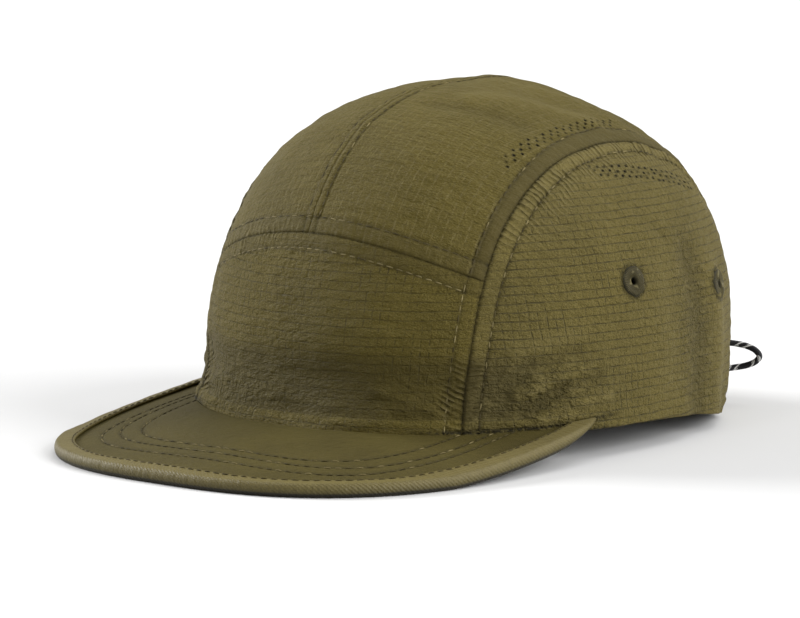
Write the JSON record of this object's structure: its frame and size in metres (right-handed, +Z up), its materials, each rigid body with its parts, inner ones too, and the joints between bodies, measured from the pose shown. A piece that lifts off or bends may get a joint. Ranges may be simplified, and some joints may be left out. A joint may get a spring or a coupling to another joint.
{
  "type": "five panel cap",
  "caption": "Soft five panel cap with a low rounded crown, arched side panels, vent holes, sewn eyelets, a flat stitched peak with a bound edge and a drawcord loop",
  "frame": {"origin": "on the floor under the centre of the box around the cap, measured without its loose cord", "axes": "+Z up, the peak points along -Y, +X is the wearer's left"},
  "size_m": [0.1658, 0.251, 0.116],
  "materials": {
    "crown_cloth": "olive ripstop nylon with a fine grid, slightly sheeny",
    "peak_cloth": "olive plain woven nylon over a stiff board",
    "binding_cloth": "olive folded bias tape, softly sheeny",
    "eyelet_thread": "dark olive thread sewn round a hole",
    "cord_braid": "black braided elastic with light flecks"
  },
  "bodies": {
    "root": {"front_panel": "crown_cloth", "top_panel_left": "crown_cloth", "top_panel_right": "crown_cloth", "side_panel_left": "crown_cloth", "side_panel_right": "crown_cloth", "peak": "peak_cloth", "peak_binding": "binding_cloth", "eyelet_middle_left": "eyelet_thread", "eyelet_rear_left": "eyelet_thread", "eyelet_middle_right": "eyelet_thread", "eyelet_rear_right": "eyelet_thread", "drawcord": "cord_braid"}
  },
  "joints": []
}
